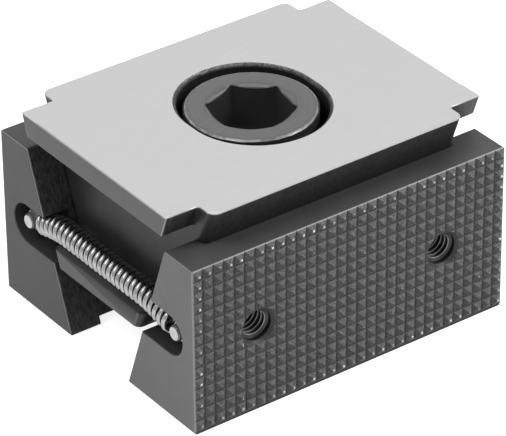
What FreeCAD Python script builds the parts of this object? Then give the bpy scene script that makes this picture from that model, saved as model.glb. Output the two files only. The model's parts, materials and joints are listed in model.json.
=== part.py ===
"""Double-acting wedge clamp: a screwed-down wedge that drives two serrated jaws apart.

Millimetres.  The frame stands at the middle of the table face: X runs along the jaws, the front
jaw is on the -Y side, +Z is up and z = 0 is the underside of both jaws.
"""
import FreeCAD, Part
import math
import os

import Sketcher

os.makedirs("parts", exist_ok=True)
doc = FreeCAD.newDocument("wedge_clamp")
Vector = FreeCAD.Vector
TOUCH = 1e-4
CHOICES = ("Type", "Mode", "SideType", "Transition")

# Driving sizes: name, value, what it is
DRIVING = [
    ("jaw_length", 67.0, "both jaws and the wedge along X"),
    ("jaw_height", 33.0, "table face to the jaws' top"),
    ("clamp_width", 57.8, "over the roots of the two serrated faces, screw slack"),
    ("jaw_top_thickness", 8.2, "root of the serrations to the land, at the top"),
    ("wedge_angle", 20.0, "flank from the vertical, degrees"),
    ("land_length", 6.4, "plain land at each end of a jaw's inner face"),
    ("pocket_depth", 2.6, "wedge channel below the lands, along Y"),
    ("pocket_corner", 1.8, "radius in the channel's corners"),
    ("edge_break", 0.3, "chamfer on the jaws' edges"),
    ("serration_pitch", 2.16, "pyramid to pyramid"),
    ("serration_depth", 0.9, "pyramid height"),
    ("insert_spacing", 40.0, "between the two tapped holes of a jaw"),
    ("insert_level", 16.9, "tapped holes above the table face"),
    ("insert_thread", 6.0, "tapped hole, nominal thread diameter"),
    ("insert_depth", 8.6, "tapped hole from the roots of the serrations"),
    ("insert_countersink", 1.3, "45 degree countersink, from the pyramid tips"),
    ("slot_height", 8.0, "spring slot in the jaw ends"),
    ("slot_above_rib", 0.75, "middle of the spring slot above the wedge's rib"),
    ("slot_wall", 3.1, "round end of the slot to the roots of the serrations"),
    ("slot_depth", 5.5, "spring slot from the jaw's end face"),
    ("pin_diameter", 3.0, "spring pin"),
    ("pin_length", 8.0, "spring pin"),
    ("pin_chamfer", 0.3, "outer end of a pin"),
    ("pin_recess", 0.6, "pin below the jaw's end face"),
    ("pin_inset", 6.6, "pin axis to the roots of the serrations"),
    ("pin_hole_spare", 0.3, "pin hole beyond the pin"),
    ("wedge_height", 27.0, "underside to top"),
    ("wedge_rise", 7.0, "wedge top above the jaws, screw slack"),
    ("flank_gap", 0.05, "running gap between flank and channel, along Y"),
    ("side_gap", 0.2, "wedge body to the side of the channel"),
    ("body_corner", 2.1, "radius of the wedge body's corners"),
    ("flange_thickness", 4.3, "end flange"),
    ("flange_gap", 1.4, "flange side to the plane of the lands, along Y"),
    ("flange_corner", 1.3, "radius of the flange's corners"),
    ("notch_corner", 0.5, "radius between flange side and body end"),
    ("rib_thickness", 3.25, "spring rib at the wedge's underside"),
    ("rib_gap", 1.0, "rib end to the plane of the lands, along Y"),
    ("rib_corner", 1.3, "radius of the rib's corners"),
    ("top_break", 0.2, "chamfer round the wedge's top"),
    ("counterbore_diameter", 27.0, "room for the screw head"),
    ("counterbore_chamfer", 0.66, "mouth of the counterbore"),
    ("screw_clearance", 0.75, "bore beyond the screw's radius"),
    ("screw_diameter", 16.0, "cap screw, nominal thread diameter"),
    ("screw_length", 40.0, "under the head"),
    ("screw_tip", 1.4, "chamfer at the screw's end"),
    ("head_diameter", 24.0, "cap screw head"),
    ("head_height", 16.0, "cap screw head"),
    ("head_recess", 1.2, "head below the wedge's top"),
    ("head_chamfer", 0.8, "outer edge of the head"),
    ("hexagon", 14.0, "socket across flats"),
    ("socket_depth", 8.0, "socket"),
    ("socket_turn", 20.0, "how the socket happens to stand, degrees"),
    ("socket_mouth_angle", 60.0, "half angle of the cone at the socket's mouth, degrees"),
    ("spring_diameter", 5.0, "outside of the coil"),
    ("spring_wire", 0.95, "spring wire"),
    ("spring_lift", 0.1, "coil above the rib"),
    ("spring_past_rib", 0.3, "straight run of the coil past the rib's end"),
    ("hook_lead", 0.7, "coil's end to the hook loop, along Y"),
    ("hook_turn", 285.0, "how far the hook goes round its pin, degrees"),
]

# Sizes that follow from the driving ones
DERIVED = [
    ("slope", "tan(wedge_angle)"),
    ("half_length", "jaw_length / 2"),
    ("half_width", "clamp_width / 2"),
    ("tip_y", "half_width + serration_depth"),
    ("stock_y", "tip_y + serration_depth / 2"),
    ("over_y", "tip_y + serration_depth"),
    ("land_top_y", "half_width - jaw_top_thickness"),
    ("land_foot_y", "land_top_y - jaw_height * slope"),
    ("pocket_half", "half_length - land_length"),
    ("pocket_over_z", "jaw_height + pocket_depth"),
    ("pocket_over_y", "land_top_y + pocket_depth + pocket_depth * slope"),
    ("pocket_under_y", "land_foot_y + pocket_depth - pocket_depth * slope"),
    ("columns", "round(jaw_length / serration_pitch)"),
    ("column_pitch", "jaw_length / columns"),
    ("rows", "floor(jaw_height / serration_pitch)"),
    ("row_run", "rows * serration_pitch"),
    ("strip_height", "jaw_height - row_run"),
    ("insert_half", "insert_spacing / 2"),
    ("insert_radius", "insert_thread / 2"),
    ("insert_floor_y", "half_width - insert_depth"),
    ("insert_cone_y", "tip_y - insert_countersink"),
    ("insert_mouth", "insert_radius + insert_countersink + serration_depth"),
    ("slot_radius", "slot_height / 2"),
    ("slot_y", "half_width - slot_wall - slot_radius"),
    ("slot_open_y", "land_foot_y - slot_radius"),
    ("pin_y", "half_width - pin_inset"),
    ("pin_radius", "pin_diameter / 2"),
    ("pin_end_radius", "pin_radius - pin_chamfer"),
    ("pin_shoulder", "pin_length - pin_chamfer"),
    ("pin_inner_x", "half_length - pin_recess - pin_length"),
    ("pin_hole", "pin_recess + pin_length + pin_hole_spare"),
    ("wedge_top", "jaw_height + wedge_rise"),
    ("wedge_foot", "wedge_top - wedge_height"),
    ("land_at_top", "land_top_y + wedge_rise * slope"),
    ("body_half", "pocket_half - side_gap"),
    ("body_top_y", "land_at_top + pocket_depth - flank_gap"),
    ("body_foot_y", "body_top_y - wedge_height * slope"),
    ("flange_foot", "wedge_top - flange_thickness"),
    ("flange_top_y", "land_at_top - flange_gap"),
    ("flange_foot_y", "flange_top_y - flange_thickness * slope"),
    ("rib_top", "wedge_foot + rib_thickness"),
    ("rib_foot_y", "land_foot_y + wedge_foot * slope - rib_gap"),
    ("rib_top_y", "rib_foot_y + rib_thickness * slope"),
    ("slot_level", "rib_top + slot_above_rib"),
    ("slot_low", "slot_level - slot_radius"),
    ("slot_high", "slot_level + slot_radius"),
    ("bore_radius", "screw_diameter / 2 + screw_clearance"),
    ("counterbore_radius", "counterbore_diameter / 2"),
    ("chamfer_foot", "wedge_top - counterbore_chamfer"),
    ("chamfer_over", "wedge_top + counterbore_chamfer"),
    ("chamfer_radius", "counterbore_radius + 2 * counterbore_chamfer"),
    ("head_top", "wedge_top - head_recess"),
    ("head_seat", "head_top - head_height"),
    ("head_edge", "head_top - head_chamfer"),
    ("head_radius", "head_diameter / 2"),
    ("head_face_radius", "head_radius - head_chamfer"),
    ("screw_radius", "screw_diameter / 2"),
    ("screw_drop", "screw_length - head_seat"),
    ("screw_tip_drop", "screw_drop - screw_tip"),
    ("screw_tip_radius", "screw_radius - screw_tip"),
    ("hexagon_corner", "hexagon / 2 / cos(30)"),
    ("socket_corner_x", "hexagon_corner * cos(socket_turn)"),
    ("socket_corner_y", "hexagon_corner * sin(socket_turn)"),
    ("socket_cone", "hexagon_corner / tan(socket_mouth_angle)"),
    ("spring_radius", "spring_diameter / 2"),
    ("spring_bore", "spring_radius - spring_wire"),
    ("spring_mean", "spring_radius - spring_wire / 2"),
    ("spring_x", "half_length - spring_radius"),
    ("spring_top", "rib_top + spring_lift + spring_radius"),
    ("spring_flat", "rib_top_y + spring_past_rib"),
    ("coil_end_y", "pin_y - spring_mean - hook_lead"),
    ("lead_start_y", "coil_end_y - spring_wire"),
    ("wire_half", "spring_wire * sqrt(pi) / 4"),
]

sheet = doc.addObject("Spreadsheet::Sheet", "Sizes")
for row, (name, value, meaning) in enumerate(DRIVING, 1):
    sheet.set(f"A{row}", meaning)
    sheet.set(f"B{row}", str(value))
    sheet.setAlias(f"B{row}", name)
doc.recompute()
for row, (name, formula) in enumerate(DERIVED, 1):
    sheet.set(f"D{row}", "=" + formula)
    sheet.setAlias(f"D{row}", name)
    doc.recompute()


def size(name):
    """A value of the sheet as a number; a leading minus turns its sign."""
    if name == "0":
        return 0.0
    return -size(name[1:]) if name.startswith("-") else float(sheet.get(name))


def bound(name):
    """The same value as an expression."""
    return "-Sizes." + name[1:] if name.startswith("-") else "Sizes." + name


def near(value, target):
    return abs(value - target) < TOUCH


def new_body(label):
    body = doc.addObject("PartDesign::Body", label)
    body.Label = label
    return body


def place(body, x, y, z, turn):
    """Stand a body in its place; the offsets stay bound to the sheet."""
    body.Placement = FreeCAD.Placement(Vector(size(x), size(y), size(z)), turn)
    for axis, name in zip("xyz", (x, y, z)):
        body.setExpression(f"Placement.Base.{axis}", bound(name))


def origin_of(body, role):
    return next(item for item in body.Origin.OriginFeatures if item.Role == role)


def sketch_on(body, role, name, **offset):
    """A sketch on one of the body's own origin planes, moved in the plane's x, y and normal z."""
    sketch = body.newObject("Sketcher::SketchObject", name)
    sketch.AttachmentSupport = [(origin_of(body, role), "")]
    sketch.MapMode = "FlatFace"
    for axis, value in offset.items():
        sketch.setExpression(f"AttachmentOffset.Base.{axis}", bound(value))
    doc.recompute()
    return sketch


def hold(sketch, geometry, end, across, up):
    """Hold a point of a line or arc at the sizes named for its two coordinates."""
    for kind, axis, name in (("DistanceX", -2, across), ("DistanceY", -1, up)):
        if name == "0":
            sketch.addConstraint(Sketcher.Constraint("PointOnObject", geometry, end, axis))
            continue
        if name.startswith("-"):
            name = name[1:]
            ends = (geometry, end, -1, 1)
        else:
            ends = (-1, 1, geometry, end)
        number = sketch.addConstraint(Sketcher.Constraint(kind, *ends, size(name)))
        sketch.setExpression(f"Constraints[{number}]", bound(name))


def hold_across(sketch, geometry, end, name):
    """Hold only the first coordinate of a point."""
    number = sketch.addConstraint(
        Sketcher.Constraint("DistanceX", -1, 1, geometry, end, size(name)))
    sketch.setExpression(f"Constraints[{number}]", bound(name))


def radius(sketch, geometry, name):
    number = sketch.addConstraint(Sketcher.Constraint("Radius", geometry, size(name)))
    sketch.setExpression(f"Constraints[{number}]", bound(name))


def outline(sketch, corners):
    """A closed polygon through corners given by the names of their two sizes."""
    points = [Vector(size(across), size(up), 0) for across, up in corners]
    lines = [
        sketch.addGeometry(Part.LineSegment(start, end), False)
        for start, end in zip(points, points[1:] + points[:1])
    ]
    for line, following in zip(lines, lines[1:] + lines[:1]):
        sketch.addConstraint(Sketcher.Constraint("Coincident", line, 2, following, 1))
    for line, (across, up) in zip(lines, corners):
        hold(sketch, line, 1, across, up)


def circles(sketch, across, up, *radii):
    """Circles about one centre."""
    for name in radii:
        disc = sketch.addGeometry(
            Part.Circle(Vector(size(across), size(up), 0), Vector(0, 0, 1), size(name)), False)
        hold(sketch, disc, 3, across, up)
        radius(sketch, disc, name)


def feature(body, kind, name, **settings):
    """Add a feature to the body; sizes come as expressions."""
    made = body.newObject("PartDesign::" + kind, name)
    for setting, value in settings.items():
        if isinstance(value, str) and setting not in CHOICES:
            made.setExpression(setting, value)
        else:
            setattr(made, setting, value)
    body.Tip = made
    doc.recompute()
    return made


def edges_where(made, test):
    """Names of the edges whose two ends both pass the test."""
    return [
        f"Edge{number}"
        for number, edge in enumerate(made.Shape.Edges, 1)
        if len(edge.Vertexes) == 2 and all(test(vertex.Point) for vertex in edge.Vertexes)
    ]


def upright_edges(made, half, low, high):
    """Names of the edges at |x| = half that climb from one level to the other."""
    return [
        name
        for name in edges_where(made, lambda p: near(abs(p.x), half))
        if near(min(v.Z for v in made.Shape.getElement(name).Vertexes), low)
        and near(max(v.Z for v in made.Shape.getElement(name).Vertexes), high)
    ]


def make_jaw(label):
    """A jaw as it stands in front; the rear one is the same, turned half round."""
    body = new_body(label)
    section = sketch_on(body, "YZ_Plane", label + "_section")
    outline(section, [
        ("-stock_y", "0"),
        ("-stock_y", "jaw_height"),
        ("-land_top_y", "jaw_height"),
        ("-land_foot_y", "0"),
    ])
    block = feature(body, "Pad", label + "_block", Profile=section, SideType="Symmetric",
                    Length="Sizes.jaw_length")
    outer = edges_where(block, lambda p: near(p.y, -size("stock_y")))
    broken = [name for name in edges_where(block, lambda p: True) if name not in outer]
    feature(body, "Chamfer", label + "_edges", Base=(block, broken), Size="Sizes.edge_break")

    channel = sketch_on(body, "YZ_Plane", label + "_channel_section")
    outline(channel, [
        ("-pocket_over_y", "pocket_over_z"),
        ("-pocket_under_y", "-pocket_depth"),
        ("pocket_depth", "-pocket_depth"),
        ("pocket_depth", "pocket_over_z"),
    ])
    cut = feature(body, "Pocket", label + "_channel", Profile=channel, SideType="Symmetric",
                  Length="2 * Sizes.pocket_half")
    corners = upright_edges(cut, size("pocket_half"), 0.0, size("jaw_height"))
    feature(body, "Fillet", label + "_channel_corners", Base=(cut, corners),
            Radius="Sizes.pocket_corner")

    slot = sketch_on(body, "YZ_Plane", label + "_slot_section", z="half_length")
    open_y = -size("slot_open_y")
    deep_y = -size("slot_y")
    low = slot.addGeometry(Part.LineSegment(
        Vector(open_y, size("slot_low"), 0), Vector(deep_y, size("slot_low"), 0)), False)
    bend = slot.addGeometry(Part.ArcOfCircle(
        Part.Circle(Vector(deep_y, size("slot_level"), 0), Vector(0, 0, 1), size("slot_radius")),
        math.pi / 2, 3 * math.pi / 2), False)
    high = slot.addGeometry(Part.LineSegment(
        Vector(deep_y, size("slot_high"), 0), Vector(open_y, size("slot_high"), 0)), False)
    mouth = slot.addGeometry(Part.LineSegment(
        Vector(open_y, size("slot_high"), 0), Vector(open_y, size("slot_low"), 0)), False)
    slot.addConstraint(Sketcher.Constraint("Tangent", low, 2, bend, 2))
    slot.addConstraint(Sketcher.Constraint("Tangent", bend, 1, high, 1))
    slot.addConstraint(Sketcher.Constraint("Coincident", high, 2, mouth, 1))
    slot.addConstraint(Sketcher.Constraint("Coincident", mouth, 2, low, 1))
    slot.addConstraint(Sketcher.Constraint("Horizontal", low))
    slot.addConstraint(Sketcher.Constraint("Vertical", mouth))
    hold(slot, bend, 3, "-slot_y", "slot_level")
    hold(slot, mouth, 1, "-slot_open_y", "slot_high")
    spring_slot = feature(body, "Pocket", label + "_slot", Profile=slot, Length="Sizes.slot_depth")
    hole = sketch_on(body, "YZ_Plane", label + "_pin_hole_section", z="half_length")
    circles(hole, "-pin_y", "slot_level", "pin_radius")
    pin_hole = feature(body, "Pocket", label + "_pin_hole", Profile=hole, Length="Sizes.pin_hole")
    feature(body, "Mirrored", label + "_other_end", Originals=[spring_slot, pin_hole],
            MirrorPlane=(origin_of(body, "YZ_Plane"), [""]))

    column = sketch_on(body, "XY_Plane", label + "_column_section", x="-half_length")
    outline(column, [
        ("0", "-half_width"),
        ("column_pitch", "-over_y"),
        ("-column_pitch", "-over_y"),
    ])
    groove = feature(body, "Pocket", label + "_column", Profile=column, SideType="Symmetric",
                     Type="ThroughAll")
    feature(body, "LinearPattern", label + "_columns", Originals=[groove],
            Direction=(column, ["H_Axis"]), Length="Sizes.jaw_length",
            Occurrences="Sizes.columns + 1")
    row = sketch_on(body, "YZ_Plane", label + "_row_section", y="jaw_height")
    outline(row, [
        ("-half_width", "0"),
        ("-over_y", "-serration_pitch"),
        ("-over_y", "serration_pitch"),
    ])
    groove = feature(body, "Pocket", label + "_row", Profile=row, SideType="Symmetric",
                     Type="ThroughAll")
    feature(body, "LinearPattern", label + "_rows", Originals=[groove],
            Direction=(row, ["V_Axis"]), Reversed=True, Length="Sizes.row_run",
            Occurrences="Sizes.rows + 1")
    strip = sketch_on(body, "YZ_Plane", label + "_strip_section")
    outline(strip, [
        ("-half_width", "-serration_depth"),
        ("-half_width", "strip_height"),
        ("-over_y", "strip_height"),
        ("-over_y", "-serration_depth"),
    ])
    feature(body, "Pocket", label + "_strip", Profile=strip, SideType="Symmetric",
            Type="ThroughAll")

    insert = sketch_on(body, "XY_Plane", label + "_insert_section", x="insert_half",
                       z="insert_level")
    outline(insert, [
        ("0", "-over_y"),
        ("insert_mouth", "-over_y"),
        ("insert_radius", "-insert_cone_y"),
        ("insert_radius", "-insert_floor_y"),
        ("0", "-insert_floor_y"),
    ])
    tapped = feature(body, "Groove", label + "_tapped_hole", Profile=insert,
                     ReferenceAxis=(insert, ["V_Axis"]))
    feature(body, "Mirrored", label + "_tapped_holes", Originals=[tapped],
            MirrorPlane=(origin_of(body, "YZ_Plane"), [""]))
    return body


def make_wedge():
    """A tapered body with a flange on top and a spring rib at its underside, at both ends."""
    body = new_body("wedge")
    section = sketch_on(body, "YZ_Plane", "wedge_section")
    outline(section, [
        ("-body_top_y", "wedge_top"),
        ("-body_foot_y", "wedge_foot"),
        ("body_foot_y", "wedge_foot"),
        ("body_top_y", "wedge_top"),
    ])
    block = feature(body, "Pad", "wedge_block", Profile=section, SideType="Symmetric",
                    Length="2 * Sizes.body_half")
    corners = upright_edges(block, size("body_half"), size("wedge_foot"), size("wedge_top"))
    feature(body, "Fillet", "wedge_corners", Base=(block, corners), Radius="Sizes.body_corner")

    plates = (
        ("flange", "flange_top_y", "wedge_top", "flange_foot_y", "flange_foot"),
        ("rib", "rib_top_y", "rib_top", "rib_foot_y", "wedge_foot"),
    )
    for name, upper_y, upper, lower_y, lower in plates:
        section = sketch_on(body, "YZ_Plane", name + "_section")
        outline(section, [
            ("-" + upper_y, upper),
            ("-" + lower_y, lower),
            (lower_y, lower),
            (upper_y, upper),
        ])
        plate = feature(body, "Pad", name + "_plate", Profile=section, SideType="Symmetric",
                        Length="Sizes.jaw_length")
        corners = upright_edges(plate, size("half_length"), size(lower), size(upper))
        rounded = feature(body, "Fillet", name + "_corners", Base=(plate, corners),
                          Radius=f"Sizes.{name}_corner")
        if name == "flange":
            corners = upright_edges(rounded, size("body_half"), size(lower), size(upper))
            feature(body, "Fillet", "notch_corners", Base=(rounded, corners),
                    Radius="Sizes.notch_corner")

    bore = sketch_on(body, "XZ_Plane", "screw_bore_section")
    outline(bore, [
        ("0", "0"),
        ("bore_radius", "0"),
        ("bore_radius", "head_seat"),
        ("counterbore_radius", "head_seat"),
        ("counterbore_radius", "chamfer_foot"),
        ("chamfer_radius", "chamfer_over"),
        ("0", "chamfer_over"),
    ])
    bored = feature(body, "Groove", "screw_bore", Profile=bore, ReferenceAxis=(bore, ["V_Axis"]))
    mouth = size("counterbore_radius") + 2 * size("counterbore_chamfer")
    rim = edges_where(
        bored,
        lambda p: near(p.z, size("wedge_top")) and math.hypot(p.x, p.y) > mouth,
    )
    feature(body, "Chamfer", "wedge_top_edges", Base=(bored, rim), Size="Sizes.top_break")
    return body


def make_screw():
    """Socket head cap screw that draws the wedge down to the table."""
    body = new_body("clamping_screw")
    profile = sketch_on(body, "XZ_Plane", "screw_profile")
    outline(profile, [
        ("0", "-screw_drop"),
        ("screw_tip_radius", "-screw_drop"),
        ("screw_radius", "-screw_tip_drop"),
        ("screw_radius", "head_seat"),
        ("head_radius", "head_seat"),
        ("head_radius", "head_edge"),
        ("head_face_radius", "head_top"),
        ("0", "head_top"),
    ])
    feature(body, "Revolution", "screw_blank", Profile=profile, ReferenceAxis=(profile, ["V_Axis"]))

    socket = sketch_on(body, "XY_Plane", "socket_section", z="head_top")
    reach = size("hexagon_corner")
    around = [math.radians(size("socket_turn") + 60 * step) for step in range(7)]
    points = [Vector(reach * math.cos(angle), reach * math.sin(angle), 0) for angle in around]
    sides = [
        socket.addGeometry(Part.LineSegment(start, end), False)
        for start, end in zip(points, points[1:])
    ]
    circle = socket.addGeometry(Part.Circle(Vector(), Vector(0, 0, 1), reach), True)
    for side, following in zip(sides, sides[1:] + sides[:1]):
        socket.addConstraint(Sketcher.Constraint("Coincident", side, 2, following, 1))
    for side in sides[1:]:
        socket.addConstraint(Sketcher.Constraint("Equal", sides[0], side))
    for side in sides:
        socket.addConstraint(Sketcher.Constraint("PointOnObject", side, 1, circle))
    socket.addConstraint(Sketcher.Constraint("Coincident", circle, 3, -1, 1))
    hold(socket, sides[0], 1, "socket_corner_x", "socket_corner_y")
    feature(body, "Pocket", "hexagon_socket", Profile=socket, Length="Sizes.socket_depth")
    mouth = sketch_on(body, "XZ_Plane", "socket_mouth_section", y="head_top")
    outline(mouth, [("0", "0"), ("hexagon_corner", "0"), ("0", "-socket_cone")])
    feature(body, "Groove", "socket_mouth", Profile=mouth, ReferenceAxis=(mouth, ["V_Axis"]))
    return body


def make_pin(label, side_x, side_y):
    """Dowel pin pressed into the floor of a spring slot."""
    body = new_body(label)
    profile = sketch_on(body, "XZ_Plane", label + "_profile")
    outline(profile, [
        ("0", "0"),
        ("pin_radius", "0"),
        ("pin_radius", "pin_shoulder"),
        ("pin_end_radius", "pin_length"),
        ("0", "pin_length"),
    ])
    feature(body, "Revolution", label + "_turned", Profile=profile,
            ReferenceAxis=(profile, ["V_Axis"]))
    outward = FreeCAD.Rotation(Vector(0, 0, 1), Vector(float(side_x + "1"), 0, 0))
    place(body, side_x + "pin_inner_x", side_y + "pin_y", "slot_level", outward)
    return body


def make_spring(label, side_x):
    """Extension spring over the rib: a sleeve for its coil and a hook round each pin.

    The hook's wire is square, of the round wire's own section, which keeps its faces few.
    """
    body = new_body(label)
    across = side_x + "spring_x"
    crest = Vector(size("spring_flat"), size("spring_top"), 0)
    pin = Vector(size("pin_y"), size("slot_level"), 0)
    along = (pin - crest).normalize()
    lift = Vector(-along.y, along.x, 0) * size("spring_mean")
    coil_end = crest + along * ((size("coil_end_y") - crest.x) / along.x)

    axis = sketch_on(body, "YZ_Plane", label + "_axis", z=across)
    run = axis.addGeometry(Part.LineSegment(Vector(0, crest.y, 0), crest), False)
    tail = axis.addGeometry(Part.LineSegment(crest, coil_end), False)
    guide = axis.addGeometry(Part.LineSegment(coil_end, pin), True)
    hold(axis, run, 1, "0", "spring_top")
    hold(axis, run, 2, "spring_flat", "spring_top")
    axis.addConstraint(Sketcher.Constraint("Coincident", run, 2, tail, 1))
    axis.addConstraint(Sketcher.Constraint("Coincident", tail, 2, guide, 1))
    axis.addConstraint(Sketcher.Constraint("Parallel", tail, guide))
    hold(axis, guide, 2, "pin_y", "slot_level")
    hold_across(axis, tail, 2, "coil_end_y")
    middle = sketch_on(body, "XZ_Plane", label + "_coil_section")
    circles(middle, across, "spring_top", "spring_radius", "spring_bore")
    coil = feature(body, "AdditivePipe", label + "_coil", Profile=middle, Spine=(axis, []),
                   Transition="Right corner")

    path = sketch_on(body, "YZ_Plane", label + "_hook_path", z=across)
    start = pin + lift - along * ((pin.x + lift.x - size("lead_start_y")) / along.x)
    lead = path.addGeometry(Part.LineSegment(start, pin + lift), False)
    first = math.atan2(lift.y, lift.x)
    ring = Part.Circle(pin, Vector(0, 0, 1), size("spring_mean"))
    turn = math.radians(size("hook_turn"))
    loop = path.addGeometry(Part.ArcOfCircle(ring, first - turn, first), False)
    guide = path.addGeometry(Part.LineSegment(crest, pin), True)
    hold(path, guide, 1, "spring_flat", "spring_top")
    hold(path, loop, 3, "pin_y", "slot_level")
    path.addConstraint(Sketcher.Constraint("Coincident", guide, 2, loop, 3))
    radius(path, loop, "spring_mean")
    path.addConstraint(Sketcher.Constraint("Tangent", lead, 2, loop, 2))
    path.addConstraint(Sketcher.Constraint("Parallel", lead, guide))
    hold_across(path, lead, 1, "lead_start_y")
    number = path.addConstraint(Sketcher.Constraint("Angle", loop, turn))
    path.setExpression(f"Constraints[{number}]", "Sizes.hook_turn * 1 deg")
    doc.recompute()
    wire = body.newObject("Sketcher::SketchObject", label + "_wire_section")
    wire.AttachmentSupport = [(path, "Edge1")]
    wire.MapMode = "NormalToEdge"
    doc.recompute()
    outline(wire, [
        ("wire_half", "wire_half"),
        ("-wire_half", "wire_half"),
        ("-wire_half", "-wire_half"),
        ("wire_half", "-wire_half"),
    ])
    hook = feature(body, "AdditivePipe", label + "_hook", Profile=wire, Spine=(path, []))
    feature(body, "Mirrored", label + "_halves", Originals=[coil, hook],
            MirrorPlane=(origin_of(body, "XZ_Plane"), [""]))
    return body


wedge = make_wedge()
front_jaw = make_jaw("front_jaw")
rear_jaw = make_jaw("rear_jaw")
rear_jaw.Placement = FreeCAD.Placement(Vector(), FreeCAD.Rotation(Vector(0, 0, 1), 180))
nodes = [wedge, front_jaw, rear_jaw, make_screw()]
nodes += [make_spring("left_spring", "-"), make_spring("right_spring", "")]
for part_label, part_end, part_side in (
    ("front_left_pin", "-", "-"),
    ("front_right_pin", "", "-"),
    ("rear_left_pin", "-", ""),
    ("rear_right_pin", "", ""),
):
    nodes.append(make_pin(part_label, part_end, part_side))

doc.recompute()
for item in doc.Objects:
    if "Invalid" in item.State or "Error" in item.State:
        raise RuntimeError(f"{item.Name} did not build: {item.State}")
for body in nodes:
    shape = body.Shape
    if shape.isNull() or not shape.isValid() or len(shape.Solids) != 1:
        raise RuntimeError(f"{body.Label} is not one sound solid")
for body in nodes:
    body.Shape.exportStep(f"parts/{body.Label}.step")
    print(f"{body.Label}: {body.Shape.Volume:.1f} mm3")
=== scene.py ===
import json
import math

import bpy
from mathutils import Matrix, Vector

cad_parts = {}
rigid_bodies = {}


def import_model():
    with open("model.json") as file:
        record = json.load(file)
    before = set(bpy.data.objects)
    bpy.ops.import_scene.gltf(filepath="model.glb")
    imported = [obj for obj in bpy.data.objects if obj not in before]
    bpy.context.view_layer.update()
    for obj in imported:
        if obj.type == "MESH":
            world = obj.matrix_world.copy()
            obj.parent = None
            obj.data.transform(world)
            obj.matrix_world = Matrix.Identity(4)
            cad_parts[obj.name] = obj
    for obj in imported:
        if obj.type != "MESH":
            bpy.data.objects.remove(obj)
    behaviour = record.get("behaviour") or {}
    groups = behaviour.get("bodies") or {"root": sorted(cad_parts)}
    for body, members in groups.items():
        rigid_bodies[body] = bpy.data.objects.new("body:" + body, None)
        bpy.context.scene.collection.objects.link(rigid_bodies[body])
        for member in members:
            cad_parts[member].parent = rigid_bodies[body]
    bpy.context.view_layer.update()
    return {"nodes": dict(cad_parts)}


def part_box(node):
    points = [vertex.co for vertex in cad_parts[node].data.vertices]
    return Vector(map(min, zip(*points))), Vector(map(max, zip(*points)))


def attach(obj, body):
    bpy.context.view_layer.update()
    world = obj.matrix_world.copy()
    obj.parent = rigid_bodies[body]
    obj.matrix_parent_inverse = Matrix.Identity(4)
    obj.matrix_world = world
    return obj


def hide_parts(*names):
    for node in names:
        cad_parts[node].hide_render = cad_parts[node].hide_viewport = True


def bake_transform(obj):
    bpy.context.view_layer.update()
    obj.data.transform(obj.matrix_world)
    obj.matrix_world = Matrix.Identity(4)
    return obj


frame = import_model()
nodes = frame["nodes"]
MM = 0.001
MERGE_WITHIN = 1e-6
GRAIN_DEPTH = 0.00002

# Jaws, in millimetres. A flank's reach is its distance out from the 20 degree planes at the middle.
jaw_low, jaw_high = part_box("front_jaw")
HALF_LENGTH = jaw_high[0] / MM
JAW_TOP = jaw_high[2] / MM
TOOTH_TIP = -jaw_low[1] / MM
TOOTH_ROOT = 28.9
TOOTH_ROW = 2.4
FLANK = math.radians(20)
CHANNEL_REACH = 10.68
CHANNEL_END = 26.9
LAND_REACH = 8.28
SLOT_BACK = 27.95
SLOT_HALF_HEIGHT = 4.05
SLOT_INNER_END = 26.5
PIN_Y = 22.3
PIN_Z = 17.0
PIN_FACE = 32.86
PIN_CHAMFER = 0.31

# Tapped holes in the jaws, in millimetres
HOLE_X = 20.0
HOLE_Z = 16.9
HOLE_RADIUS = 3.0
HOLE_MOUTH = 28.3
HOLE_FLOOR = 20.3
HOLE_CREST = 2.5
HOLE_THREAD_MIDDLE = 2.86
HOLE_THREAD_CORNER = 0.5
HOLE_THREAD_PITCH = 1.0
HOLE_THREAD_TURNS = 7
HOLE_THREAD_STEPS = 28
HOLE_THREAD_STARTS = (("front_jaw", -HOLE_FLOOR - 0.6), ("rear_jaw", HOLE_MOUTH - 0.3))

# Wedge, in millimetres. Its counterbore is two half rounds, set apart along Y.
WEDGE_TOP = 40.0
BODY_REACH = 10.5
BODY_HALF = 26.9
BODY_TOP_Y = 25.73
BODY_CORNER = 2.1
BODY_CORNER_START = 23.49
BODY_SHARP = 0.8
TOP_BREAK_X = 0.2
TOP_BREAK_Y = 0.13
FLANGE_OUT = 6.8
FLANGE_BOTTOM = 35.7
FLANGE_EDGE = 0.1
BLOCK_INNER_X = 30.5
BLOCK_INNER_Y = 17.0
BORE_RADIUS = 12.7
BORE_SHIFT = 1.3
BORE_ACROSS = 0.35
BORE_CHAMFER = 0.55
BORE_TOP = WEDGE_TOP + 1.0
BORE_STEPS = 128
PLUG_RADIUS = 14.6

# Screw, in millimetres. HEAD_RISE is how far its head stands over the solid's.
HEAD_SEAT = 22.8
HEAD_TOP = 39.6
HEAD_RISE = 0.8
HEAD_RADIUS = 12.0
FACE_RADIUS = 11.65
FACE_RING = (10.0, 11.6)
FACE_FROM = HEAD_TOP - 1.5
HEAD_LIFT_FROM = HEAD_SEAT + 2.0
HEAD_CUT = HEAD_SEAT - 0.9
SOCKET_CORNER = 8.083
SOCKET_FLOOR = HEAD_SEAT + 2.2
SOCKET_CONE = math.tan(math.radians(30))
SHANK_END = -17.2
SHANK_TOP = HEAD_SEAT - 0.5
THREAD_LOW = SHANK_END + 0.7
THREAD_HIGH = HEAD_SEAT - 1.0
THREAD_START = SHANK_END - 0.6
THREAD_CORE = 6.9
THREAD_TOP = 7.95
THREAD_CORNER = 1.11
THREAD_PITCH = 2.0
THREAD_TURNS = 20
THREAD_STEPS = 48

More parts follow.
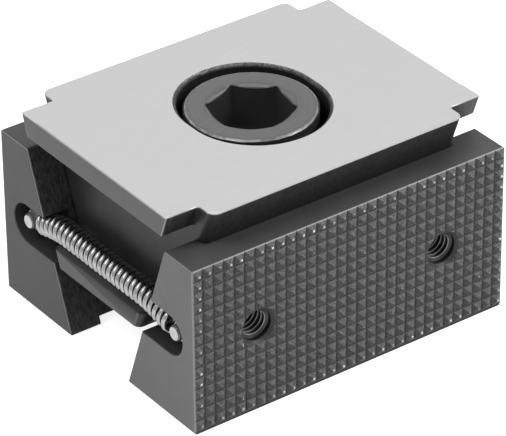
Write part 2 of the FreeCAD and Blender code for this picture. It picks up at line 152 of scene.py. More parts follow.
# Springs, in millimetres and degrees. The coil bends down to the pins beside the wedge's rib.
SPRING_X = 31.0
SPRING_TOP = 18.85
SPRING_MEAN = 1.98
WIRE_RADIUS = 0.52
BEND_START = 11.9
BEND_END = 15.9
SPRING_SLOPE = (SPRING_TOP - PIN_Z) / (PIN_Y - (BEND_START + BEND_END) / 2)
COIL_TURNS = 28.0 + 260.0 / 360.0
COIL_FIRST_ANGLE = 230
POINTS_PER_TURN = 14
HOOK_REACH = 2.725
HOOK_TURN = 285
HOOK_POINTS = 14
HOOK_LEAD = ((0.42, -0.93, 0.35), (0.10, -1.0, 0.95), (0.0, -1.0, 1.7))
COIL_END = PIN_Y - HOOK_REACH

# How light each steel is, as a grey. Some of these greys are painted light and shade.
TEETH_GREY = 0.068
TOP_GREY = 0.080
# The jaws' ends are one steel: painted lit on the front jaw, painted shaded on the rear jaw
FRONT_END_LIT_GREY = 0.134
REAR_END_SHADED_GREY = 0.066
# Painted shade on the pin slots' walls
SLOT_SHADE_GREY = 0.05
# A painted highlight along the jaws' rim
RIM_HIGHLIGHT_GREY = 0.24
# Painted glints, with some wear, on the teeth's tips
WORN_GLINT_TIP_GREY = 0.62
WEDGE_END_GREY = 0.090
# Painted shade on the wedge body's end faces under the flange
BODY_END_SHADE_GREY = 0.040
WEDGE_TOP_GREY = 0.56
WEDGE_BREAK_GREY = 0.32
# A painted highlight on the flange's upright corners
FLANGE_EDGE_HIGHLIGHT_GREY = 0.28
# Painted shade on the counterbore wall
BORE_SHADE_GREY = 0.028
HEAD_GREY = 0.13
SHANK_GREY = 0.07
# Painted shade on the head's chamfer
SHADED_CHAMFER_GREY = 0.045
# A painted highlight along the head face's edge
FACE_EDGE_HIGHLIGHT_GREY = 0.44
# Painted shade in the hex socket
SOCKET_SHADE_GREY = 0.022
WIRE_GREY = 0.31
# Painted shade on the tapped holes' walls
HOLE_SHADE_GREY = 0.02
# Painted shade in the thread's roots
HOLE_ROOT_SHADE_GREY = 0.03
PIN_CHAMFER_GREY = 0.10

# Light and camera, in metres, watts and degrees
FLOOR_GREY = 0.86
FLOOR_GLOW = 0.82
FLOOR_SIZE = 6.0
FLOOR_DROP = 0.00005
ROOM_LIGHT = 0.3
SOFTBOXES = (
    ("key softbox", (0.55, -0.5, 0.6), (0, 0, 0.02), 0.5, 5.5),
    ("left softbox", (-0.52, 0.05, 0.72), (-0.03, 0, 0.02), 0.4, 2.8),
    ("top softbox", (0.05, 0.25, 0.95), (0, 0, 0.02), 0.7, 1.6),
)
CAMERA_PLACE = (-0.339914, -0.468813, 0.380707)
CAMERA_AZIMUTH = math.radians(35.9539)
CAMERA_ELEVATION = math.radians(32.1682)
CAMERA_ROLL = math.radians(-0.6112)
CAMERA_LENS = 274.46


def only(piece):
    """Select one piece and nothing else."""
    bpy.ops.object.select_all(action="DESELECT")
    piece.select_set(True)
    bpy.context.view_layer.objects.active = piece


def named(piece, name):
    piece.name = name
    piece.data.name = name
    return piece


def settle(piece):
    """Put a piece's place and turn into its mesh."""
    only(piece)
    bpy.ops.object.transform_apply(location=True, rotation=True, scale=True)


def outward(piece):
    """Merge a mesh's doubles and turn its faces outwards."""
    only(piece)
    bpy.ops.object.mode_set(mode="EDIT")
    bpy.ops.mesh.select_all(action="SELECT")
    bpy.ops.mesh.remove_doubles(threshold=MERGE_WITHIN)
    bpy.ops.mesh.normals_make_consistent(inside=False)
    bpy.ops.object.mode_set(mode="OBJECT")


def smooth(piece, degrees):
    only(piece)
    bpy.ops.object.shade_smooth_by_angle(angle=math.radians(degrees))


def keep_flats(piece):
    """Let the large flat faces rule the shading at rounded edges."""
    modifier = piece.modifiers.new("flats", "WEIGHTED_NORMAL")
    modifier.keep_sharp = True
    only(piece)
    bpy.ops.object.modifier_apply(modifier="flats")


# Materials
def new_material(name):
    material = bpy.data.materials.new(name)
    material.use_nodes = True
    tree = material.node_tree
    shader = tree.nodes["Principled BSDF"]
    place = tree.nodes.new("ShaderNodeTexCoord")
    return material, tree, shader, place.outputs["Object"]


def noise(tree, place, scale, detail, rough=0.5):
    node = tree.nodes.new("ShaderNodeTexNoise")
    node.inputs["Scale"].default_value = scale
    node.inputs["Detail"].default_value = detail
    node.inputs["Roughness"].default_value = rough
    tree.links.new(place, node.inputs["Vector"])
    return node.outputs["Fac"]


def drawn_out(tree, place, scale, detail, rough):
    """Noise with its own scale along each axis, for marks that run one way."""
    node = tree.nodes.new("ShaderNodeMapping")
    node.inputs["Scale"].default_value = scale
    tree.links.new(place, node.inputs["Vector"])
    return noise(tree, node.outputs["Vector"], 1.0, detail, rough)


def ground_streaks(tree, place):
    """Fine marks that run up and down, as grinding leaves them on a flank."""
    return drawn_out(tree, place, (2400, 2400, 60), detail=4, rough=0.65)


def ramp(tree, factor, stops):
    """Greys blended between places along a factor."""
    node = tree.nodes.new("ShaderNodeValToRGB")
    elements = node.color_ramp.elements
    while len(elements) < len(stops):
        elements.new(0.5)
    for element, (at, grey) in zip(elements, stops):
        element.position = at
        element.color = (grey, grey, grey, 1)
    tree.links.new(factor, node.inputs["Fac"])
    return node.outputs["Color"]


def shades(tree, factor, dark, light, start=0.3):
    """Noise turned into greys between a dark and a light one."""
    return ramp(tree, factor, ((start, dark), (0.7, light)))


def remap(tree, value, low, high, to_low, to_high):
    node = tree.nodes.new("ShaderNodeMapRange")
    node.inputs["From Min"].default_value = low
    node.inputs["From Max"].default_value = high
    node.inputs["To Min"].default_value = to_low
    node.inputs["To Max"].default_value = to_high
    tree.links.new(value, node.inputs["Value"])
    return node.outputs["Result"]


def spread(tree, value, to_low, to_high):
    """Noise turned into a number that varies between two levels."""
    return remap(tree, value, 0.3, 0.7, to_low, to_high)


def maths(tree, operation, first, second, *third):
    node = tree.nodes.new("ShaderNodeMath")
    node.operation = operation
    for socket, value in zip(node.inputs, (first, second, *third)):
        if isinstance(value, (int, float)):
            socket.default_value = value
        else:
            tree.links.new(value, socket)
    return node.outputs["Value"]


def bump(tree, shader, height, strength, depth):
    node = tree.nodes.new("ShaderNodeBump")
    node.inputs["Strength"].default_value = strength
    node.inputs["Distance"].default_value = depth
    tree.links.new(height, node.inputs["Height"])
    tree.links.new(node.outputs["Normal"], shader.inputs["Normal"])


def axes(tree, place):
    """The X, Y and Z of a point, in metres."""
    split = tree.nodes.new("ShaderNodeSeparateXYZ")
    tree.links.new(place, split.inputs["Vector"])
    return split.outputs["X"], split.outputs["Y"], split.outputs["Z"]


def sides(tree, place):
    """How far a point lies from the middle along X and Y, and its height, in metres."""
    x, y, height = axes(tree, place)
    return maths(tree, "ABSOLUTE", x, 0.0), maths(tree, "ABSOLUTE", y, 0.0), height


def over(tree, value, level, soft=0.05):
    """0 under a level in millimetres, 1 over it."""
    return remap(tree, value, (level - soft) * MM, (level + soft) * MM, 0.0, 1.0)


def under(tree, value, level, soft=0.05):
    """1 under a level in millimetres, 0 over it."""
    return remap(tree, value, (level - soft) * MM, (level + soft) * MM, 1.0, 0.0)


def both(tree, first, second):
    return maths(tree, "MULTIPLY", first, second)


def either(tree, first, second):
    return maths(tree, "MAXIMUM", first, second)


def from_flank(tree, along, height):
    """Distance of a point out from the 20 degree planes that meet at the middle."""
    sloped = maths(tree, "MULTIPLY", height, -math.sin(FLANK))
    return maths(tree, "MULTIPLY_ADD", along, math.cos(FLANK), sloped)


def radius_of(tree, across, along):
    squares = maths(tree, "ADD", maths(tree, "POWER", across, 2.0), maths(tree, "POWER", along, 2.0))
    return maths(tree, "SQRT", squares, 0.0)


def hole_reach(tree, across, height):
    """Distance from the axis of the nearest tapped hole."""
    aside = maths(tree, "SUBTRACT", across, HOLE_X * MM)
    above = maths(tree, "SUBTRACT", height, HOLE_Z * MM)
    return radius_of(tree, aside, above)


def clouded(tree, place, grey, drift):
    """A grey that drifts a little from place to place."""
    cloud = noise(tree, place, scale=160, detail=5, rough=0.6)
    return shades(tree, cloud, grey * (1 - drift), grey * (1 + drift))


def layered(tree, ground, layers):
    """Lay greys or colours over a ground, each where its mask is 1."""
    colour = ground
    for mask, layer in layers:
        node = tree.nodes.new("ShaderNodeMix")
        node.data_type = "RGBA"
        tree.links.new(mask, node.inputs["Factor"])
        tree.links.new(colour, node.inputs["A"])
        if isinstance(layer, float):
            node.inputs["B"].default_value = (layer, layer, layer, 1)
        else:
            tree.links.new(layer, node.inputs["B"])
        colour = node.outputs["Result"]
    return colour


def worn_glinting_tips(tree, place, across, along, height):
    """Bright tips on most teeth of the outer rows, and on a few others: painted glints on tips with some
    wear.
    """
    outer_rows = either(tree, over(tree, height, JAW_TOP - TOOTH_ROW, soft=0.2),
                        under(tree, height, TOOTH_ROW, soft=0.2))
    outer = either(tree, over(tree, across, HALF_LENGTH - TOOTH_ROW - 0.1, soft=0.2), outer_rows)
    patches = remap(tree, noise(tree, place, scale=640, detail=3), 0.40, 0.62, 0.0, 1.0)
    tips = both(tree, both(tree, over(tree, along, TOOTH_TIP - 0.18, soft=0.06), outer), patches)
    rare = remap(tree, noise(tree, place, scale=1500, detail=2), 0.72, 0.76, 0.0, 0.5)
    return either(tree, tips, both(tree, over(tree, along, TOOTH_TIP - 0.5, soft=0.1), rare))


def jaw_rim_highlight(tree, across, along, height):
    """A painted highlight on the broken edges round the teeth and along the ends."""
    near_end = over(tree, across, HALF_LENGTH - 0.2, soft=0.04)
    upper = both(tree, over(tree, height, JAW_TOP - 0.14, soft=0.04),
                 over(tree, along, TOOTH_ROOT - 0.16, soft=0.04))
    end = both(tree, near_end, under(tree, across, HALF_LENGTH - 0.06, soft=0.02))
    side = both(tree, near_end, over(tree, along, TOOTH_ROOT - 0.2, soft=0.04))
    return either(tree, either(tree, upper, end), side)


def pin_slot(tree, across, along, height):
    """The walls of the slots that hold the pins and the springs' ends."""
    deep = both(tree, over(tree, across, SLOT_BACK), under(tree, across, HALF_LENGTH - 0.08, soft=0.02))
    tall = both(tree, over(tree, height, PIN_Z - SLOT_HALF_HEIGHT),
                under(tree, height, PIN_Z + SLOT_HALF_HEIGHT))
    return both(tree, both(tree, deep, tall), under(tree, along, SLOT_INNER_END))


def jaw_finish(name, end_light_shade_grey):
    """Black oxide: dull grey teeth, darker top, the front jaw's end painted lit and the rear's painted
    shaded, flanks painted near black as shade over their grinding streaks, painted shade in the valleys,
    slots and holes, and painted highlights on the rim and tips.
    """
    material, tree, shader, place = new_material(name)
    across, along, height = sides(tree, place)
    reach = from_flank(tree, along, height)
    speck = noise(tree, place, scale=3400, detail=4, rough=0.7)
    teeth = ramp(tree, speck, ((0.38, TEETH_GREY * 0.55), (0.5, TEETH_GREY), (0.64, TEETH_GREY * 1.8)))
    # Painted shade in the valleys between the teeth
    shaded_valley = under(tree, along, TOOTH_ROOT + 0.1)
    # Painted shade: the tapped holes' walls near black
    hole = both(tree, under(tree, hole_reach(tree, across, height), HOLE_RADIUS + 0.12),
                under(tree, along, HOLE_MOUTH - 0.1))
    top = both(tree, over(tree, height, JAW_TOP - 0.1), under(tree, along, TOOTH_ROOT - 0.15))
    # The ends' grey is painted light on the front jaw and painted shade on the rear jaw
    ends = both(tree, over(tree, across, HALF_LENGTH - 0.06, soft=0.02),
                under(tree, along, TOOTH_ROOT - 0.05))
    # The channel and the lands are painted near black as shade, over real grinding streaks
    channel = both(tree, under(tree, reach, CHANNEL_REACH), under(tree, across, CHANNEL_END))
    land = under(tree, reach, LAND_REACH)
    streaks = ground_streaks(tree, place)
    colour = layered(tree, teeth, (
        (shaded_valley, TEETH_GREY * 0.66),
        (top, clouded(tree, place, TOP_GREY, 0.12)),
        (ends, clouded(tree, place, end_light_shade_grey, 0.05)),
        # Painted shade on the pin slots' walls
        (pin_slot(tree, across, along, height), SLOT_SHADE_GREY),
        # Painted highlight along the rim
        (jaw_rim_highlight(tree, across, along, height), RIM_HIGHLIGHT_GREY),
        # Painted glints on the tips, with some wear
        (worn_glinting_tips(tree, place, across, along, height), WORN_GLINT_TIP_GREY),
        (hole, HOLE_SHADE_GREY),
        # Painted shade on the channel and lands, with real grinding streaks
        (either(tree, channel, land), shades(tree, streaks, 0.022, 0.085, start=0.35)),
    ))
    tree.links.new(colour, shader.inputs["Base Color"])
    shader.inputs["Metallic"].default_value = 0.3
    shader.inputs["Specular IOR Level"].default_value = 0.25
    grain = noise(tree, place, scale=2600, detail=3)
    tree.links.new(spread(tree, grain, 0.42, 0.54), shader.inputs["Roughness"])
    bump(tree, shader, either(tree, both(tree, streaks, land), grain), strength=0.12, depth=GRAIN_DEPTH)
    return material


def wedge_finish():
    """Bright ground top, grey ends, painted shade on the near black flanks, the body's ends and the
    counterbore wall, and a painted highlight on the flange's upright corners.
    """
    material, tree, shader, place = new_material("wedge ground top")
    across, along, height = sides(tree, place)
    reach = from_flank(tree, along, height)
    off_middle = maths(tree, "MAXIMUM", maths(tree, "SUBTRACT", along, BORE_SHIFT * MM), 0.0)
    aside = maths(tree, "SUBTRACT", axes(tree, place)[0], BORE_ACROSS * MM)
    from_bore = radius_of(tree, aside, off_middle)
    bore = under(tree, from_bore, BORE_RADIUS + BORE_CHAMFER + 0.02, soft=0.02)
    chamfer = both(tree, bore, over(tree, height, WEDGE_TOP - BORE_CHAMFER - 0.05))
    burr = noise(tree, place, scale=2100, detail=4, rough=0.7)
    level = over(tree, height, WEDGE_TOP - 0.1, soft=0.03)
    lay = drawn_out(tree, place, (180, 2600, 180), detail=3, rough=0.6)
    ends = over(tree, across, HALF_LENGTH - 0.1, soft=0.03)
    broken = both(tree, over(tree, height, WEDGE_TOP - 0.28, soft=0.04),
                  under(tree, height, WEDGE_TOP - 0.1, soft=0.03))
    streaks = ground_streaks(tree, place)
    flange_side = both(tree, over(tree, reach, FLANGE_OUT - 0.1, soft=0.03),
                       over(tree, across, BODY_HALF + 0.05))
    # A painted highlight on the flange's upright corners
    upright = both(tree, over(tree, across, HALF_LENGTH - 0.25, soft=0.04),
                   over(tree, reach, FLANGE_OUT - 0.2, soft=0.04))
    # The ground grey is painted shade on the body's end faces under the flange
    colour = layered(tree, clouded(tree, place, BODY_END_SHADE_GREY, 0.2), (
        # Painted shade: the body's flanks near black, with real grinding streaks
        (over(tree, reach, BODY_REACH), shades(tree, streaks, 0.016, 0.044, start=0.35)),
        (flange_side, shades(tree, streaks, 0.030, 0.062, start=0.35)),
        (ends, clouded(tree, place, WEDGE_END_GREY, 0.05)),
        (broken, WEDGE_BREAK_GREY),
        (both(tree, upright, over(tree, height, FLANGE_BOTTOM - 0.7)), FLANGE_EDGE_HIGHLIGHT_GREY),
        (level, shades(tree, lay, WEDGE_TOP_GREY * 0.98, WEDGE_TOP_GREY * 1.02)),
        # Painted shade on the counterbore wall
        (bore, BORE_SHADE_GREY),
        (chamfer, ramp(tree, burr, ((0.35, 0.04), (0.68, 0.20)))),
    ))
    tree.links.new(colour, shader.inputs["Base Color"])
    shader.inputs["Metallic"].default_value = 0.4
    shader.inputs["Specular IOR Level"].default_value = 0.25
    tree.links.new(remap(tree, level, 0.0, 1.0, 0.46, 0.36), shader.inputs["Roughness"])
    bump(tree, shader, either(tree, lay, both(tree, burr, chamfer)), strength=0.06, depth=GRAIN_DEPTH)
    return material


def turned_rings(tree, place, reach):
    """Noise in rings round the Z axis that waver a little, as a lathe leaves them."""
    waver = maths(tree, "MULTIPLY", noise(tree, place, scale=300, detail=3), 0.0012)
    node = tree.nodes.new("ShaderNodeTexNoise")
    node.noise_dimensions = "1D"
    node.inputs["Scale"].default_value = 1900
    node.inputs["Detail"].default_value = 3
    tree.links.new(maths(tree, "ADD", reach, waver), node.inputs["W"])
    return node.outputs["Fac"]


def screw_finish():
    """Black oxide head with faint rings, a painted highlight in patches along the face's edge, and
    painted shade on the chamfer and in the socket.
    """
    material, tree, shader, place = new_material("screw black oxide")
    across, along, height = sides(tree, place)
    reach = radius_of(tree, across, along)
    rings = turned_rings(tree, place, reach)
    cone = maths(tree, "MULTIPLY_ADD", reach, -SOCKET_CONE, height)
    below_mouth = under(tree, cone, HEAD_TOP - SOCKET_CORNER * SOCKET_CONE - 0.06, soft=0.03)
    socket = both(tree, under(tree, reach, SOCKET_CORNER + 0.1), below_mouth)
    face = both(tree, over(tree, height, HEAD_TOP - 0.75), maths(tree, "SUBTRACT", 1.0, socket))
    # Painted shade on the head's chamfer and upper side
    shaded_chamfer = both(tree, over(tree, reach, FACE_RADIUS + 0.08, soft=0.04),
                  over(tree, height, HEAD_TOP - 1.2))
    # A painted highlight along the face's edge, broken into patches by noise
    edge = both(tree, over(tree, reach, FACE_RADIUS - 0.1, soft=0.04),
                under(tree, reach, FACE_RADIUS + 0.08, soft=0.04))
    highlight_patches = remap(tree, noise(tree, place, scale=520, detail=4, rough=0.65), 0.42, 0.62, 0.15, 1.0)
    colour = layered(tree, clouded(tree, place, SHANK_GREY, 0.2), (
        (face, shades(tree, rings, HEAD_GREY * 0.82, HEAD_GREY * 1.18)),
        (shaded_chamfer, SHADED_CHAMFER_GREY),
        (both(tree, both(tree, edge, highlight_patches), face), FACE_EDGE_HIGHLIGHT_GREY),
        # Painted shade deep in the socket
        (both(tree, socket, over(tree, height, SOCKET_FLOOR)), SOCKET_SHADE_GREY),
    ))
    tree.links.new(colour, shader.inputs["Base Color"])
    shader.inputs["Metallic"].default_value = 0.35
    shader.inputs["Specular IOR Level"].default_value = 0.3
    dull_socket = maths(tree, "MULTIPLY", socket, 0.85)
    tree.links.new(either(tree, spread(tree, rings, 0.34, 0.44), dull_socket), shader.inputs["Roughness"])
    bump(tree, shader, rings, strength=0.08, depth=GRAIN_DEPTH)
    return material


def wire_finish():
    """Drawn spring wire with fine marks and a bright shine."""
    material, tree, shader, place = new_material("drawn spring wire")
    shade = shades(tree, noise(tree, place, scale=900, detail=3), WIRE_GREY * 0.85, WIRE_GREY * 1.15)
    tree.links.new(shade, shader.inputs["Base Color"])
    shader.inputs["Metallic"].default_value = 1.0
    marks = noise(tree, place, scale=2400, detail=2)
    tree.links.new(spread(tree, marks, 0.16, 0.24), shader.inputs["Roughness"])
    bump(tree, shader, marks, strength=0.05, depth=GRAIN_DEPTH / 2)
    return material


def pin_finish():
    """Ground dowel steel with a darker chamfer at its outer end."""
    material, tree, shader, place = new_material("pin ground steel")
    across = sides(tree, place)[0]
    shade = shades(tree, noise(tree, place, scale=1200, detail=3), 0.42, 0.52)
    chamfer = both(tree, over(tree, across, PIN_FACE - PIN_CHAMFER),
                   under(tree, across, PIN_FACE, soft=0.02))
    tree.links.new(layered(tree, shade, ((chamfer, PIN_CHAMFER_GREY),)), shader.inputs["Base Color"])
    shader.inputs["Metallic"].default_value = 0.7
    dull = spread(tree, noise(tree, place, scale=3000, detail=2), 0.26, 0.36)
    tree.links.new(dull, shader.inputs["Roughness"])
    return material


def hole_thread_finish():
    """Cut thread, with painted shade in its roots and a painted highlight on its crests."""
    material, tree, shader, place = new_material("cut thread")
    across, along, height = sides(tree, place)
    crest_highlight = under(tree, hole_reach(tree, across, height), HOLE_CREST, soft=0.06)
    speck = noise(tree, place, scale=2400, detail=3)
    root = clouded(tree, place, HOLE_ROOT_SHADE_GREY, 0.3)
    # Painted shade in the roots, a painted highlight on the crests
    colour = layered(tree, root, ((crest_highlight, shades(tree, speck, 0.13, 0.22)),))
    tree.links.new(colour, shader.inputs["Base Color"])
    shader.inputs["Metallic"].default_value = 0.6
    tree.links.new(spread(tree, speck, 0.28, 0.4), shader.inputs["Roughness"])
    return material


def wear(piece, material):
    piece.data.materials.clear()
    piece.data.materials.append(material)


def dress(node, material):
    """Give a CAD node its material."""
    for slot in node.material_slots:
        slot.material = material


hole_steel = hole_thread_finish()
wedge_steel = wedge_finish()
screw_steel = screw_finish()
wire_steel = wire_finish()
pin_steel = pin_finish()
dress(nodes["front_jaw"], jaw_finish("front jaw black oxide", FRONT_END_LIT_GREY))
dress(nodes["rear_jaw"], jaw_finish("rear jaw black oxide", REAR_END_SHADED_GREY))
for name in nodes:
    if name.endswith("_pin"):
        dress(nodes[name], pin_steel)


# Wedge
def solid_copy(node, name):
    """A merged copy of a CAD node's mesh, free to be worked on."""
    only(nodes[node])
    bpy.ops.object.duplicate(linked=False)
    piece = named(bpy.context.active_object, name)
    if piece.parent:
        bpy.ops.object.parent_clear(type="CLEAR_KEEP_TRANSFORM")
    settle(piece)
    outward(piece)
    return piece


def cut(piece, tool, operation):
    """Join a tool to a piece, or take it out of it."""
    modifier = piece.modifiers.new("cut", "BOOLEAN")
    modifier.operation = operation
    modifier.solver = "EXACT"
    modifier.object = tool
    only(piece)
    bpy.ops.object.modifier_apply(modifier="cut")
    bpy.data.objects.remove(tool)


def sharpen_body_corners(piece):
    """Tighten the body's round upright corners at their top, as far as the jaws' channel allows."""
    for vertex in piece.data.vertices:
        x, y, z = (value / MM for value in vertex.co)
        on_top = z > WEDGE_TOP - 0.1
        edge_x = BODY_HALF - TOP_BREAK_X if on_top else BODY_HALF
        edge_y = BODY_TOP_Y - TOP_BREAK_Y if on_top else BODY_TOP_Y
        in_corner = BODY_HALF - BODY_CORNER - 0.01 < abs(x) <= edge_x + 0.01
        if z > WEDGE_TOP - 0.5 and in_corner and abs(y) > BODY_CORNER_START - 0.01:
            vertex.co.x = math.copysign(edge_x - BODY_SHARP * (edge_x - abs(x)), x) * MM
            vertex.co.y = math.copysign(edge_y - BODY_SHARP * (edge_y - abs(y)), y) * MM


def flange_reach(height):
    """Half width of the flange at a height, in millimetres."""
    return (FLANGE_OUT + height * math.sin(FLANK)) / math.cos(FLANK)


def corner_block(end, side):
    """Squares up one corner of the flange, its edges just broken."""
    bpy.ops.object.select_all(action="DESELECT")
    bpy.ops.mesh.primitive_cube_add(size=1, location=(0, 0, 0))
    block = named(bpy.context.active_object, "corner block")
    for vertex in block.data.vertices:
        height = WEDGE_TOP if vertex.co.z > 0 else FLANGE_BOTTOM
        x = HALF_LENGTH if vertex.co.x > 0 else BLOCK_INNER_X
        y = flange_reach(height) if vertex.co.y > 0 else BLOCK_INNER_Y
        vertex.co = (end * x * MM, side * y * MM, height * MM)
    outward(block)
    for vertex in block.data.vertices:
        vertex.select = False
    for face in block.data.polygons:
        face.select = False
    for edge in block.data.edges:
        places = [block.data.vertices[index].co / MM for index in edge.vertices]
        on_end = all(abs(place.x) > HALF_LENGTH - 0.5 for place in places)
        on_side = all(abs(place.y) > BLOCK_INNER_Y + 1.0 for place in places)
        on_top = all(place.z > WEDGE_TOP - 1.0 for place in places)
        edge.select = (on_end and on_side) or (on_top and (on_end or on_side))
    only(block)
    bpy.ops.object.mode_set(mode="EDIT")
    bpy.ops.mesh.select_mode(type="EDGE")
    bpy.ops.mesh.bevel(offset=FLANGE_EDGE * MM, segments=2, affect="EDGES")
    bpy.ops.mesh.select_mode(type="VERT")
    bpy.ops.object.mode_set(mode="OBJECT")
    outward(block)
    return block


def round_plug():
    """Fills the round counterbore, so that the real oblong one can be cut."""
    bpy.ops.object.select_all(action="DESELECT")
    bpy.ops.mesh.primitive_cylinder_add(vertices=64, radius=PLUG_RADIUS * MM,
                                        depth=(WEDGE_TOP - HEAD_SEAT) * MM,
                                        location=(0, 0, (WEDGE_TOP + HEAD_SEAT) / 2 * MM))
    plug = named(bpy.context.active_object, "plug")
    settle(plug)
    return plug


def oblong_tool():
    """A cutter with two half rounds set apart along Y, wider at its mouth."""
    wider = (BORE_RADIUS + BORE_CHAMFER) / BORE_RADIUS
    levels = ((HEAD_SEAT, 1.0), (WEDGE_TOP - BORE_CHAMFER, 1.0), (WEDGE_TOP, wider), (BORE_TOP, wider))
    points = []
    for height, growth in levels:
        for step in range(BORE_STEPS):
            angle = 2 * math.pi * step / BORE_STEPS
            x = -BORE_RADIUS * math.sin(angle)
            y = BORE_RADIUS * math.cos(angle)
            if step not in (BORE_STEPS // 4, BORE_STEPS * 3 // 4):
                y += math.copysign(BORE_SHIFT, y)
            points.append(((BORE_ACROSS + growth * x) * MM, growth * y * MM, height * MM))
    faces = [range(BORE_STEPS), range(len(points) - BORE_STEPS, len(points))]
    for low in range(0, len(points) - BORE_STEPS, BORE_STEPS):
        high = low + BORE_STEPS
        for step in range(BORE_STEPS):
            after = (step + 1) % BORE_STEPS
            faces.append((low + step, low + after, high + after, high + step))
    mesh = bpy.data.meshes.new("oblong tool")
    mesh.from_pydata(points, [], [tuple(face) for face in faces])
    tool = bpy.data.objects.new("oblong tool", mesh)
    bpy.context.scene.collection.objects.link(tool)
    outward(tool)
    return tool


wedge_block = solid_copy("wedge", "ground_wedge_block")
sharpen_body_corners(wedge_block)
for end in (-1, 1):
    for side in (-1, 1):
        cut(wedge_block, corner_block(end, side), "UNION")
cut(wedge_block, round_plug(), "UNION")
cut(wedge_block, oblong_tool(), "DIFFERENCE")
outward(wedge_block)
smooth(wedge_block, degrees=28)
keep_flats(wedge_block)
wear(wedge_block, wedge_steel)
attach(wedge_block, "wedge")
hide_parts("wedge")


# Springs
def spring_line(y):
    """Height of the coil's axis over the rib and down to the pins."""
    y = abs(y)
    if y <= BEND_START:
        return SPRING_TOP
    if y >= BEND_END:
        return PIN_Z + (PIN_Y - y) * SPRING_SLOPE
    part = (y - BEND_START) / (BEND_END - BEND_START)
    return SPRING_TOP - SPRING_SLOPE * (BEND_END - BEND_START) * part * part / 2


def hook_points(side, end):
    """The wire from the coil's end round a pin."""
    length = math.hypot(1, SPRING_SLOPE)
    out_y, out_z = end / length, -SPRING_SLOPE / length
    up_y, up_z = SPRING_SLOPE / length * end, 1 / length
    points = [(out * end * SPRING_MEAN, up * SPRING_MEAN, along) for out, up, along in HOOK_LEAD]
    for i in range(HOOK_POINTS):
        turn = math.radians(-90 + HOOK_TURN * i / (HOOK_POINTS - 1))
        points.append((0.0, SPRING_MEAN * math.sin(turn), HOOK_REACH + SPRING_MEAN * math.cos(turn)))
    placed = []
    for out, up, along in points:
        back = along - HOOK_REACH
        placed.append((side * SPRING_X + out, end * PIN_Y + out_y * back + up_y * up,
                       PIN_Z + out_z * back + up_z * up))
    return placed


def coil_points(side):
    """The wire wound round the coil's axis, with its turns evenly spaced along it."""
    step = 0.02
    y = -COIL_END
    spine = [(y, spring_line(y))]
    while y < COIL_END:
        y += step
        spine.append((y, spring_line(y)))
    run = [0.0]
    for (y0, z0), (y1, z1) in zip(spine, spine[1:]):
        run.append(run[-1] + math.hypot(y1 - y0, z1 - z0))
    count = round(COIL_TURNS * POINTS_PER_TURN)
    coil = []
    at = 0
    for i in range(count + 1):
        wound = run[-1] * i / count
        while at < len(run) - 2 and run[at + 1] < wound:
            at += 1
        (y0, z0), (y1, z1) = spine[at], spine[at + 1]
        length = math.hypot(y1 - y0, z1 - z0)
        part = (wound - run[at]) / length
        angle = math.radians(COIL_FIRST_ANGLE) + 2 * math.pi * COIL_TURNS * i / count
        up = SPRING_MEAN * math.cos(angle) / length
        out = SPRING_MEAN * math.sin(angle)
        coil.append((side * SPRING_X + out, y0 + (y1 - y0) * part - (z1 - z0) * up,
                     z0 + (z1 - z0) * part + (y1 - y0) * up))
    return coil


def wire_spring(name, side):
    points = list(reversed(hook_points(side, -1))) + coil_points(side) + hook_points(side, 1)
    curve = bpy.data.curves.new(name, "CURVE")
    curve.dimensions = "3D"
    curve.bevel_depth = WIRE_RADIUS * MM
    curve.bevel_resolution = 3
    curve.use_fill_caps = True
    curve.resolution_u = 2
    spline = curve.splines.new("NURBS")
    spline.points.add(len(points) - 1)
    for point, place in zip(spline.points, points):
        point.co = (*(value * MM for value in place), 1)
    spline.order_u = 4
    spline.use_endpoint_u = True
    piece = bpy.data.objects.new(name, curve)
    bpy.context.scene.collection.objects.link(piece)
    only(piece)
    bpy.ops.object.convert(target="MESH")
    piece = bpy.context.view_layer.objects.active
    outward(piece)
    smooth(piece, degrees=60)
    named(piece, name)
    wear(piece, wire_steel)
    return piece


for name, side in (("left_wire_spring", -1), ("right_wire_spring", 1)):
    spring = wire_spring(name, side)
    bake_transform(spring)
    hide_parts(name.replace("_wire", ""))


# Threads
def thread_ridge(name, middle, corner, turns, pitch, steps, point_out):
    """One triangular ridge wound round the Z axis, its ends closed."""
    bpy.ops.object.select_all(action="DESELECT")
    bpy.ops.mesh.primitive_circle_add(vertices=3, radius=corner * MM, fill_type="NGON",
                                      location=(0, 0, 0))
    piece = named(bpy.context.active_object, name)
    piece.rotation_euler = (math.radians(90), math.radians(90 if point_out else -90), 0)
    settle(piece)
    piece.location = (middle * MM, 0, 0)
    settle(piece)
    modifier = piece.modifiers.new("wind", "SCREW")
    modifier.axis = "Z"
    modifier.angle = 2 * math.pi
    modifier.screw_offset = pitch * MM
    modifier.iterations = turns
    modifier.steps = steps
    modifier.render_steps = steps
    modifier.use_merge_vertices = True
    modifier.merge_threshold = MERGE_WITHIN / 10
    only(piece)
    bpy.ops.object.modifier_apply(modifier="wind")
    return piece


for jaw, start in HOLE_THREAD_STARTS:
    for hand, end in (("left", -1), ("right", 1)):
        ridge = thread_ridge(f"{jaw}_{hand}_hole_thread", HOLE_THREAD_MIDDLE, HOLE_THREAD_CORNER,
                             HOLE_THREAD_TURNS, HOLE_THREAD_PITCH, HOLE_THREAD_STEPS, point_out=False)
        ridge.rotation_euler = (math.radians(90), math.radians(180), 0)
        ridge.location = (end * HOLE_X * MM, start * MM, HOLE_Z * MM)
        settle(ridge)
        outward(ridge)
        smooth(ridge, degrees=40)
        wear(ridge, hole_steel)
        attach(ridge, jaw)


